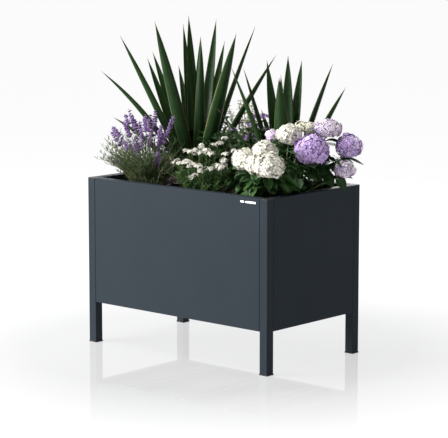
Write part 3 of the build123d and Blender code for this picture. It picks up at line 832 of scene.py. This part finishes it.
def lavender_spike(blooms, stalks, tip, rng):
    """A wiry stalk that ends in whorls of small buds, the lowest whorl set apart."""
    root = LAVENDER + (tip - LAVENDER) * (0.10, 0.10, 0.0) + rng.normal(scale=0.014, size=3) * (1, 1, 0)
    lean = tip - root
    pull = root + lean * 0.45 + UP * np.linalg.norm(lean) * 0.10
    spine = bezier(root, pull, tip, 12)
    stalks.add(tube(spine, np.linspace(0.0013, 0.0008, 12), 5), rng.rand() * 0.5 + 0.3)
    length = rng.uniform(0.048, 0.076)
    along = unit(spine[-1] - spine[-3])
    whorls = [length + rng.uniform(0.016, 0.024)] if rng.rand() < 0.7 else []
    whorls += list(np.arange(length, 0.005, -0.0098) + rng.normal(scale=0.0008))
    tone = rng.rand()
    for back in whorls:
        share = 1 - back / (length + 0.02)
        fat = 0.0118 * (1.0 - 0.5 * max(0.0, share - 0.3)) * rng.uniform(0.85, 1.1)
        middle = tip - along * back
        count = rng.randint(8, 12)
        angles = np.arange(count) * 2 * math.pi / count + rng.rand() * 3
        ring = frames_at(np.repeat(along[None], count, 0), angles)
        out = ring[:, :3, 0]
        aim = unit(out * 0.9 + along * rng.uniform(0.0, 0.9, (count, 1)))
        origins = middle + out * 0.001 + rng.normal(scale=0.0012, size=(count, 3))
        sizes = fat * rng.uniform(0.7, 1.25, count)
        tints = np.clip(tone * 0.5 + rng.rand(count) * 0.6, 0, 1)
        blooms.add(LAVENDER_BUD, tints, frames_at(aim, rng.rand(count) * 6, sizes, origins))
    blooms.add(LAVENDER_BUD, tone, frames_at(along[None], 0.0, 0.006, tip[None] - along * 0.004))


def narrow_leaf(rng, at, aim, length, width):
    """A short needle-like leaf that bends upward."""
    tip = at + unit(aim) * length
    pull = at + unit(aim) * length * 0.5 + UP * length * -0.06
    widths = width * np.array((0.5, 1.0, 0.8, 0.15))
    spine = bezier(at, pull, tip, 4)
    return blade(spine, UP + rng.normal(scale=0.4, size=3), widths, widths * 0.3, widths * 0.1, 3)


def build_lavender():
    rng = np.random.RandomState(21)
    leaves, stalks, blooms = Heap(), Heap(), Heap()
    for _ in range(240):
        azimuth = rng.uniform(0, 360)
        lean = 54 * math.sqrt(rng.rand())
        length = rng.uniform(0.11, 0.26) * (1 - lean / 230)
        out = heading(azimuth, 90)
        root = LAVENDER + out * (0.090, 0.035, 0.0) * math.sqrt(rng.rand()) - (0.012, 0.0, 0.0)
        tip = root + heading(azimuth, lean) * length
        pull = root + heading(azimuth, lean * 0.5) * length * 0.55
        spine = bezier(root, pull, tip, 9)
        stalks.add(tube(spine, np.linspace(0.0018, 0.0008, 9), 5), rng.rand())
        tone = rng.rand()
        for step, at in enumerate(spine[1:]):
            for _ in range(3):
                swing = heading(rng.uniform(0, 360), rng.uniform(35, 75))
                aim = unit(spine[-1] - spine[0]) * 0.9 + swing
                size = rng.uniform(0.020, 0.036) * (1.1 - 0.05 * step)
                shade = np.clip(tone * 0.5 + rng.rand() * 0.5, 0, 1)
                leaves.grow(narrow_leaf(rng, at, aim, size, 0.0026), shade)
    for tip in scattered(rng, 24, LAVENDER - (0.045, 0.0, 0.0), (0.200, 0.085, 0.0), 0.300, 0.45):
        lavender_spike(blooms, stalks, tip, rng)
    for _ in range(12):
        azimuth, reach = rng.uniform(0, 360), 0.17 * math.sqrt(rng.rand())
        out = heading(azimuth, 90)
        height = rng.uniform(0.16, 0.275) - reach * 0.35
        tip = LAVENDER + out * reach + UP * height
        lavender_spike(blooms, stalks, tip, rng)
    green = leaf_paint(
        "lavender_leaf", (0.022, 0.042, 0.014), (0.085, 0.125, 0.050), (0.14, 0.18, 0.095), 0.7, 2.0
    )
    stem = stalk_paint("lavender_stem", (0.07, 0.10, 0.04), (0.20, 0.21, 0.10))
    violet = petal_paint(
        "lavender_bloom",
        (0.09, 0.060, 0.11),
        (0.160, 0.092, 0.235),
        (0.290, 0.190, 0.390),
        (0.220, 0.140, 0.310),
        0.7,
    )
    leaves.finish("lavender_leaves", green, "grey_green_leaf", "lavender_foliage")
    stalks.finish("lavender_stems", stem, "grey_green_leaf")
    blooms.finish("lavender_flowers", violet, "lavender_bloom", "lavender_spikes")


LAVENDER_BUD = bud(1.0, 0.27, 5)
build_lavender()

# ---- hydrangea -----------------------------------------------------
HYDRANGEA = np.array((0.370, -0.070, SOIL_TOP))
# centre and radius of each head in mm, how tall it is for its width, and how pale
WHITE_HEADS = (
    (300, -200, 840, 52, 0.90, 0.3),
    (438, -212, 829, 60, 0.90, 0.2),
    (371, -165, 876, 52, 0.90, 0.2),
    (368, -214, 832, 46, 0.90, 0.4),
    (362, 0, 930, 50, 0.90, 0.3),
    (340, 108, 952, 27, 0.85, 0.8),
    (368, 122, 948, 30, 0.80, 0.9),
)
LILAC_HEADS = (
    (467, 20, 872, 69, 0.94, 0.15),
    (455, 140, 951, 58, 0.66, 0.95),
    (522, 190, 878, 56, 0.94, 0.35),
    (546, 131, 791, 40, 0.94, 0.90),
    (272, 0, 920, 28, 0.90, 1.0),
)


def mophead(heap, centre, radius, pale, rng, flat, size):
    """Florets packed over a ball, each facing outward and a little off true."""
    spacing = size * 1.36
    count = int(4 * math.pi * radius**2 / spacing**2)
    n = np.arange(count) + 0.5
    polar = np.arccos(1 - 2 * n / count)
    out = spiral(n, polar)
    out = out[out[:, 2] > -0.72]
    count = len(out)
    out = unit(out + rng.normal(scale=0.05, size=out.shape))
    swell = 0.0025 * np.sin(out @ rng.normal(scale=4.0, size=3) + rng.rand() * 6)
    depth = radius - 0.004 + swell[:, None] + rng.normal(scale=0.0019, size=(count, 1))
    origins = centre + out * depth * (1.0, 1.0, flat)
    facing = unit(out + rng.normal(scale=0.20, size=out.shape))
    sizes = size * rng.uniform(0.9, 1.25, count)
    tints = np.clip(pale + rng.normal(scale=0.22, size=count) + 0.15 * out[:, 2], 0, 1)
    heap.add(FLORET, tints, frames_at(facing, rng.rand(count) * 6.3, sizes, origins))


def core(centre, radius, flat):
    """The shaded inside of a flower head, seen only between its florets."""
    angle = np.linspace(0.06, math.pi - 0.06, 12)
    spine = centre - UP * (np.cos(angle) * radius * flat)[:, None]
    return tube(spine, np.sin(angle) * radius, 16)


def broad_leaf(root, aim, facing, length, width, droop, rng):
    """An ovate toothed leaf, folded a little along its midrib."""
    aim = unit(aim)
    tip = root + aim * length - UP * droop * length
    pull = root + aim * length * 0.55 + UP * droop * length * 0.25
    stations = 19
    t = np.linspace(0.0, 1.0, stations)
    outline = np.interp(
        t,
        (0.0, 0.10, 0.13, 0.2, 0.32, 0.48, 0.66, 0.8, 0.9, 0.96, 1.0),
        (0.05, 0.06, 0.22, 0.66, 0.95, 1.0, 0.88, 0.62, 0.33, 0.14, 0.01),
    )
    teeth = 1.0 + 0.03 * np.where(np.arange(stations) % 2, 1.0, -1.0)
    widths = outline * width * teeth
    wave = 0.012 * length * np.sin(t * 9.0 + rng.rand() * 6)
    spine = bezier(root, pull, tip, stations) + UP * wave[:, None]
    channels = widths * rng.uniform(0.05, 0.20)
    return blade(spine, facing, widths, np.full(stations, 0.0007), channels, 7, rng.normal(scale=0.12))


def build_hydrangea():
    rng = np.random.RandomState(33)
    leaves, stalks, white, lilac = Heap(), Heap(), Heap(), Heap()
    for group, heap, petal in ((WHITE_HEADS, white, 0.0142), (LILAC_HEADS, lilac, 0.0130)):
        for x, y, z, r, flat, pale in group:
            centre, radius = np.array((x, y, z)) * MM, r * MM
            mophead(heap, centre, radius, pale, rng, flat, petal)
            heap.add(core(centre, radius * 0.86, flat), pale * 0.5)
            root = HYDRANGEA + (centre - HYDRANGEA) * (0.22, 0.5, 0.0)
            under = centre - UP * radius * flat * 0.6
            pull = root + (under - root) * (0.3, 0.3, 0.62)
            spine = bezier(root, pull, under, 14)
            stalks.add(tube(spine, np.linspace(0.0042, 0.0028, 14), 7), rng.rand() * 0.5)
            for station in (4, 6, 8, 10, 11):
                azimuth = rng.uniform(0, 360)
                for turn in (0, 180):
                    out = heading(azimuth + turn + rng.uniform(-25, 25), rng.uniform(62, 92))
                    size = rng.uniform(0.062, 0.100)
                    width, droop = size * rng.uniform(0.55, 0.7), rng.uniform(0.1, 0.4)
                    leaf = broad_leaf(spine[station], out, UP + out * 0.2, size, width, droop, rng)
                    leaves.grow(leaf, rng.rand())
    for spot, reach, count in LEAF_MOUNDS:
        for n in range(count):
            lift = 80 * rng.rand() ** 1.3 - 12
            out = heading(rng.uniform(0, 360), 90 - lift)
            depth = rng.uniform(0.85, 1.05) if n % 3 else rng.uniform(0.45, 0.75)
            middle = np.array(spot) + out * np.array(reach) * depth
            level = unit(out * (1, 1, 0) + rng.normal(scale=0.25, size=3) * (1, 1, 0))
            aim = unit(level * rng.uniform(0.5, 0.9) - UP * rng.uniform(0.15, 0.75))
            size = rng.uniform(0.056, 0.088)
            width = size * rng.uniform(0.60, 0.76)
            root = middle - aim * size * 0.45
            facing = unit(level * 0.75 + UP * 0.8 + rng.normal(scale=0.12, size=3))
            leaf = broad_leaf(root, aim, facing, size, width, rng.uniform(0.0, 0.25), rng)
            leaves.grow(leaf, rng.rand())
    for root, tip, width, facing in OVERHANGING:
        root, tip = np.array(root) * MM, np.array(tip) * MM
        length = float(np.linalg.norm(tip - root))
        leaves.add(broad_leaf(root, tip - root, facing, length, width * MM, 0.05, rng), rng.rand())
        twig = bezier(np.array((0.42, 0.10, SOIL_TOP + 0.03)), root - UP * 0.02, root, 8)
        stalks.add(tube(twig, 0.0022, 6), 0.3)
    green = leaf_paint(
        "hydrangea_leaf", (0.010, 0.036, 0.010), (0.034, 0.086, 0.021), (0.10, 0.18, 0.055), 0.38
    )
    stem = stalk_paint("hydrangea_stem", (0.05, 0.10, 0.03), (0.16, 0.17, 0.07))
    cream = petal_paint(
        "white_petal", (0.56, 0.60, 0.34), (0.82, 0.79, 0.72), (0.60, 0.59, 0.48), (0.72, 0.71, 0.55)
    )
    mauve = petal_paint(
        "lilac_petal", (0.74, 0.64, 0.76), (0.54, 0.36, 0.74), (0.36, 0.20, 0.56), (0.80, 0.73, 0.77)
    )
    leaves.finish("hydrangea_leaves", green, "broad_leaf", "hydrangea_foliage")
    stalks.finish("hydrangea_stems", stem, "broad_leaf")
    white.finish("hydrangea_white_florets", cream, "white_bloom", "hydrangea_white_heads")
    lilac.finish("hydrangea_lilac_florets", mauve, "lilac_bloom", "hydrangea_lilac_heads")


# where the bush's lower leaves sit: middle, half-size each way in metres, how many
LEAF_MOUNDS = (
    ((0.37, -0.14, SOIL_TOP + 0.03), (0.12, 0.10, 0.10), 66),
    ((0.40, -0.03, SOIL_TOP + 0.03), (0.10, 0.14, 0.13), 70),
    ((0.40, 0.14, SOIL_TOP + 0.03), (0.10, 0.12, 0.14), 66),
    ((0.28, -0.13, SOIL_TOP + 0.03), (0.09, 0.07, 0.07), 30),
)
# leaves that lean out over the right-hand rim: root, tip and width in mm, and what they face
OVERHANGING = (
    ((500, 175, 835), (590, 205, 812), 38, (0.0, 0.0, 1.0)),
    ((490, 150, 768), (524, 166, 703), 44, (0.65, -0.60, 0.50)),
    ((478, 90, 778), (528, 78, 728), 46, (0.50, -0.40, 0.80)),
)
FLORET = floret(4, 1.0, 1.04, -0.08, 0.11)
build_hydrangea()

# ---- candytuft -----------------------------------------------------
CANDYTUFT = np.array((0.035, -0.160, SOIL_TOP))


def umbel(heap, centre, rng, radius, count, size, shape):
    """A shallow dome of small flowers."""
    n = np.arange(count) + 0.5
    polar = np.arccos(1 - n / count * 0.85)
    out = spiral(n, polar, rng.rand() * 6)
    out = unit(out + rng.normal(scale=0.22, size=out.shape))
    reach = radius * rng.uniform(0.6, 1.3, (count, 1))
    origins = centre + out * reach * (1.0, 1.0, 0.6) - UP * radius * 0.4
    sizes = size * rng.uniform(0.8, 1.2, count)
    tints, spins = rng.rand(count), rng.rand(count) * 6
    heap.add(shape, tints, frames_at(unit(out + (0, 0, 0.4)), spins, sizes, origins))


def leafy_stem(leaves, stalks, root, tip, rng, size, width, per_station=2, stations=9, start=2):
    """A stem with small oval leaves all the way up."""
    lean = tip - root
    pull = root + lean * (0.3, 0.3, 0.6)
    spine = bezier(root, pull, tip, stations)
    stalks.add(tube(spine, np.linspace(0.0018, 0.0010, stations), 5), rng.rand())
    tone = rng.rand()
    for at in spine[start:]:
        for _ in range(per_station):
            aim = heading(rng.uniform(0, 360), rng.uniform(45, 95))
            length = size * rng.uniform(0.7, 1.25)
            tipped = at + aim * length
            bend = at + aim * length * 0.5 + UP * length * 0.12
            outline = length * width * np.array((0.25, 0.8, 1.0, 0.75, 0.15))
            leaf = blade(bezier(at, bend, tipped, 5), UP, outline, np.full(5, 0.0006), outline * 0.2, 3)
            leaves.grow(leaf, np.clip(tone * 0.5 + rng.rand() * 0.5, 0, 1))


def build_candytuft():
    rng = np.random.RandomState(44)
    leaves, stalks, blooms = Heap(), Heap(), Heap()
    for tip in scattered(rng, 18, CANDYTUFT, (0.145, 0.075, 0.0), 0.160, 0.80):
        root = CANDYTUFT + (tip - CANDYTUFT) * (0.45, 0.45, 0.0)
        leafy_stem(leaves, stalks, root, tip, rng, 0.019, 0.42)
        umbel(blooms, tip, rng, rng.uniform(0.010, 0.016), 14, 0.0076, SMALL_FLOWER)
        for _ in range(2):
            aside = tip + rng.normal(scale=(0.018, 0.012, 0.010))
            umbel(blooms, aside, rng, rng.uniform(0.006, 0.012), 7, 0.0074, SMALL_FLOWER)
    for _ in range(130):
        azimuth, lean = rng.uniform(0, 360), 62 * math.sqrt(rng.rand())
        root = CANDYTUFT + heading(azimuth, 90) * (0.075, 0.035, 0) * rng.rand()
        tip = root + heading(azimuth, lean) * (0.95, 0.42, 0.95) * rng.uniform(0.06, 0.15)
        leafy_stem(leaves, stalks, root, tip, rng, 0.021, 0.42)
    green = leaf_paint(
        "candytuft_leaf", (0.016, 0.050, 0.012), (0.065, 0.135, 0.035), (0.13, 0.22, 0.07), 0.45, 3.0
    )
    stem = stalk_paint("candytuft_stem", (0.04, 0.09, 0.02), (0.12, 0.16, 0.06))
    white = petal_paint(
        "candytuft_petal", (0.58, 0.57, 0.32), (0.76, 0.74, 0.66), (0.84, 0.82, 0.75), (0.70, 0.66, 0.60)
    )
    leaves.finish("candytuft_leaves", green, "small_leaf", "candytuft_foliage")
    stalks.finish("candytuft_stems", stem, "small_leaf")
    blooms.finish("candytuft_blooms", white, "small_white_bloom", "candytuft_flowers")


SMALL_FLOWER = floret(4, 1.0, 0.85, 0.2, 0.2, across=3)
build_candytuft()

# ---- filler behind -------------------------------------------------
BACKGROUND = np.array((0.040, 0.150, SOIL_TOP))


def build_background():
    rng = np.random.RandomState(55)
    leaves, stalks, tufts, sprigs = Heap(), Heap(), Heap(), Heap()
    for tip in scattered(rng, 14, BACKGROUND - (0.0, 0.030, 0.0), (0.110, 0.090, 0.0), 0.260, 0.90):
        root = BACKGROUND + (tip - BACKGROUND) * (0.5, 0.5, 0.0)
        leafy_stem(leaves, stalks, root, tip, rng, 0.022, 0.4, 1, 9, 3)
        umbel(tufts, tip, rng, rng.uniform(0.014, 0.022), 22, 0.0072, FIVE_FLOWER)
    for tip in scattered(rng, 12, BACKGROUND - (0.085, -0.025, 0.0), (0.085, 0.040, 0.0), 0.360, 0.40):
        root = BACKGROUND + (tip - BACKGROUND) * (0.5, 0.5, 0.0)
        leafy_stem(sprigs, stalks, root, tip, rng, 0.019, 0.42, 3, 18, 8)
    for _ in range(380):
        azimuth, lean = rng.uniform(0, 360), 58 * math.sqrt(rng.rand())
        root = BACKGROUND + heading(azimuth, 90) * (0.14, 0.08, 0) * rng.rand() + (-0.02, -0.02, 0)
        tip = root + heading(azimuth, lean) * (1.0, 0.55, 1.15) * rng.uniform(0.08, 0.26)
        leafy_stem(leaves, stalks, root, tip, rng, 0.030, 0.46)
    green = leaf_paint(
        "filler_leaf", (0.010, 0.032, 0.008), (0.035, 0.085, 0.020), (0.08, 0.15, 0.04), 0.45, 4.0
    )
    cream = leaf_paint("sprig_leaf", (0.30, 0.33, 0.12), (0.62, 0.62, 0.38), (0.72, 0.70, 0.52), 0.5, 3.0)
    stem = stalk_paint("filler_stem", (0.05, 0.09, 0.03), (0.16, 0.17, 0.07))
    lilac = petal_paint(
        "filler_petal", (0.30, 0.20, 0.34), (0.33, 0.19, 0.48), (0.46, 0.30, 0.60), (0.42, 0.26, 0.52)
    )
    leaves.finish("filler_leaves", green, "small_leaf", "background_foliage")
    stalks.finish("filler_stems", stem, "small_leaf")
    sprigs.finish("filler_sprigs", cream, "small_leaf")
    tufts.finish("filler_blooms", lilac, "background_bloom", "background_flowers")


FIVE_FLOWER = floret(5, 1.0, 0.75, 0.1, 0.15, across=3)
build_background()
